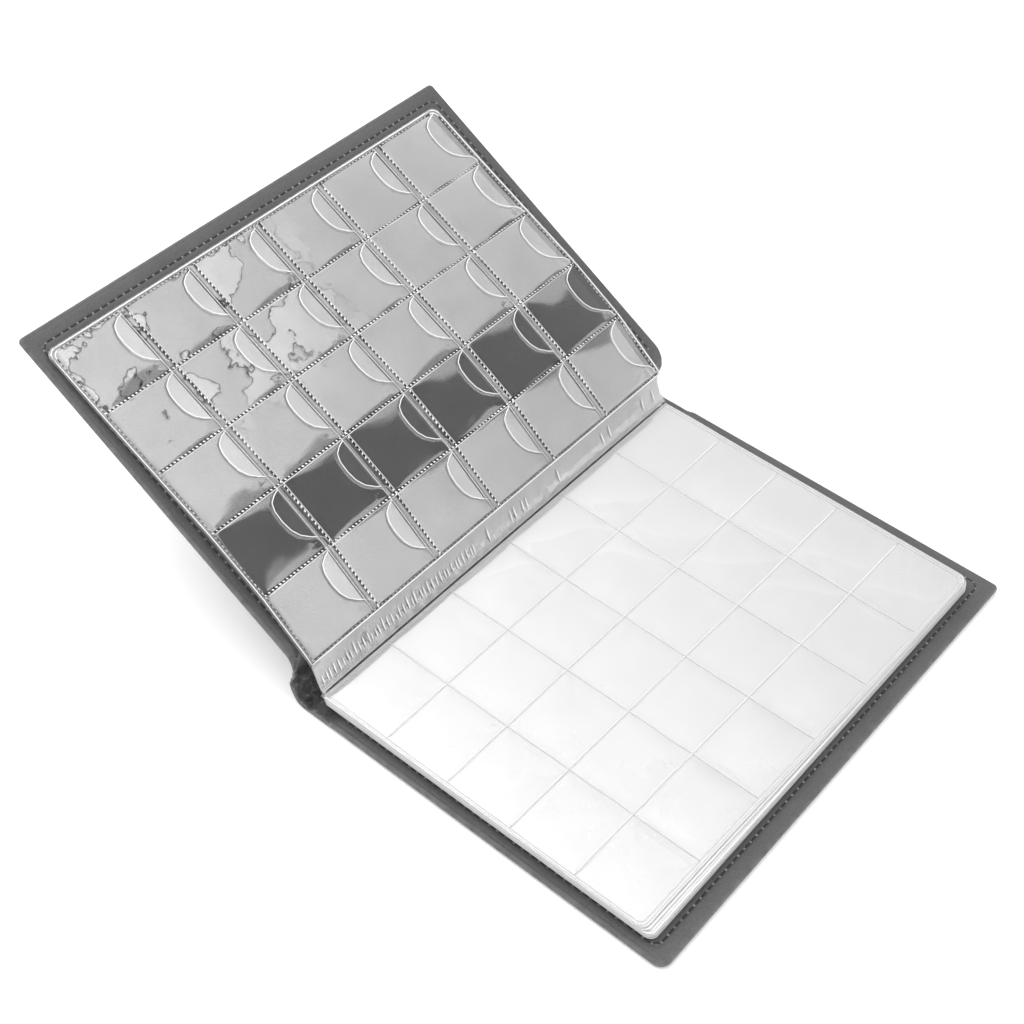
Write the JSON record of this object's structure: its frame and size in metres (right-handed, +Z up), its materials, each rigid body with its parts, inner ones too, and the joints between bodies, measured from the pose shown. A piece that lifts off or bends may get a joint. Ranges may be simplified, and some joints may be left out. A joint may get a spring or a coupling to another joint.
{
  "type": "coin album",
  "caption": "Open coin album: two stitched leatherette covers on a soft spine, with hinged clear leaves of square coin pockets, the front cover and first leaf turned over.",
  "frame": {"origin": "middle of the back cover's underside, on the table", "axes": "+X from the spine to the back cover's outer edge, +Y from the tail edge to the head edge, +Z up through the leaves"},
  "size_m": [0.3321, 0.246, 0.1084],
  "materials": {
    "leatherette": "matte, fine grain",
    "board": "matte",
    "thread": "matte",
    "film": "clear, glossy"
  },
  "bodies": {
    "back_cover": {"back_cover_skin": "leatherette", "back_cover_board": "board", "back_cover_lining": "leatherette", "back_cover_thread": "thread", "binding_strip": "film"},
    "spine": {"spine_skin": "leatherette", "spine_lining": "leatherette"},
    "front_cover": {"front_cover_skin": "leatherette", "front_cover_board": "board", "front_cover_lining": "leatherette", "front_cover_thread": "thread"},
    "page_01": {"page_01_base": "film", "page_01_pocket_row_1": "film", "page_01_pocket_row_2": "film", "page_01_pocket_row_3": "film", "page_01_pocket_row_4": "film", "page_01_pocket_row_5": "film", "page_01_pocket_row_6": "film"},
    "page_02": {"page_02_base": "film", "page_02_pocket_row_1": "film", "page_02_pocket_row_2": "film", "page_02_pocket_row_3": "film", "page_02_pocket_row_4": "film", "page_02_pocket_row_5": "film", "page_02_pocket_row_6": "film"},
    "page_03": {"page_03_base": "film", "page_03_pockets": "film"},
    "page_04": {"page_04_base": "film", "page_04_pockets": "film"},
    "page_05": {"page_05_base": "film", "page_05_pockets": "film"},
    "page_06": {"page_06_base": "film", "page_06_pockets": "film"},
    "page_07": {"page_07_base": "film", "page_07_pockets": "film"},
    "page_08": {"page_08_base": "film", "page_08_pockets": "film"},
    "page_09": {"page_09_base": "film", "page_09_pockets": "film"},
    "page_10": {"page_10_base": "film", "page_10_pockets": "film"}
  },
  "joints": [
    {"name": "front_cover_hinge", "type": "hinge", "parent": "spine", "child": "front_cover", "pos_m": [-0.1053, 0, 0.0258], "axis": [0, -1, 0], "range_deg": [-103, 19.7]},
    {"name": "spine_hinge", "type": "hinge", "parent": "back_cover", "child": "spine", "pos_m": [-0.1005, 0, 0.0006], "axis": [0, -1, 0], "range_deg": [-48, 9.2]},
    {"name": "page_01_hinge", "type": "hinge", "parent": "spine", "child": "page_01", "pos_m": [-0.10015, 0, 0.0255], "axis": [0, -1, 0], "range_deg": [-102, 19.6]},
    {"name": "page_10_hinge", "type": "hinge", "parent": "back_cover", "child": "page_10", "pos_m": [-0.0907, 0, 0.0033], "axis": [0, -1, 0], "range_deg": [0, 3]},
    {"name": "page_09_hinge", "type": "hinge", "parent": "page_10", "child": "page_09", "pos_m": [-0.0907, 0, 0.0041], "axis": [0, -1, 0], "range_deg": [0, 3]},
    {"name": "page_08_hinge", "type": "hinge", "parent": "page_09", "child": "page_08", "pos_m": [-0.0907, 0, 0.0049], "axis": [0, -1, 0], "range_deg": [0, 3]},
    {"name": "page_07_hinge", "type": "hinge", "parent": "page_08", "child": "page_07", "pos_m": [-0.0907, 0, 0.0057], "axis": [0, -1, 0], "range_deg": [0, 3]},
    {"name": "page_06_hinge", "type": "hinge", "parent": "page_07", "child": "page_06", "pos_m": [-0.0907, 0, 0.0065], "axis": [0, -1, 0], "range_deg": [0, 3]},
    {"name": "page_05_hinge", "type": "hinge", "parent": "page_06", "child": "page_05", "pos_m": [-0.0907, 0, 0.0073], "axis": [0, -1, 0], "range_deg": [0, 3]},
    {"name": "page_04_hinge", "type": "hinge", "parent": "page_05", "child": "page_04", "pos_m": [-0.0907, 0, 0.0081], "axis": [0, -1, 0], "range_deg": [0, 3]},
    {"name": "page_03_hinge", "type": "hinge", "parent": "page_04", "child": "page_03", "pos_m": [-0.0907, 0, 0.0089], "axis": [0, -1, 0], "range_deg": [0, 3]},
    {"name": "page_02_hinge", "type": "hinge", "parent": "page_03", "child": "page_02", "pos_m": [-0.0907, 0, 0.0097], "axis": [0, -1, 0], "range_deg": [0, 88]}
  ],
  "couplings": [
    {"joint": "spine_hinge", "follows": "front_cover_hinge", "ratio": 0.466},
    {"joint": "page_01_hinge", "follows": "front_cover_hinge", "ratio": 0.99}
  ]
}
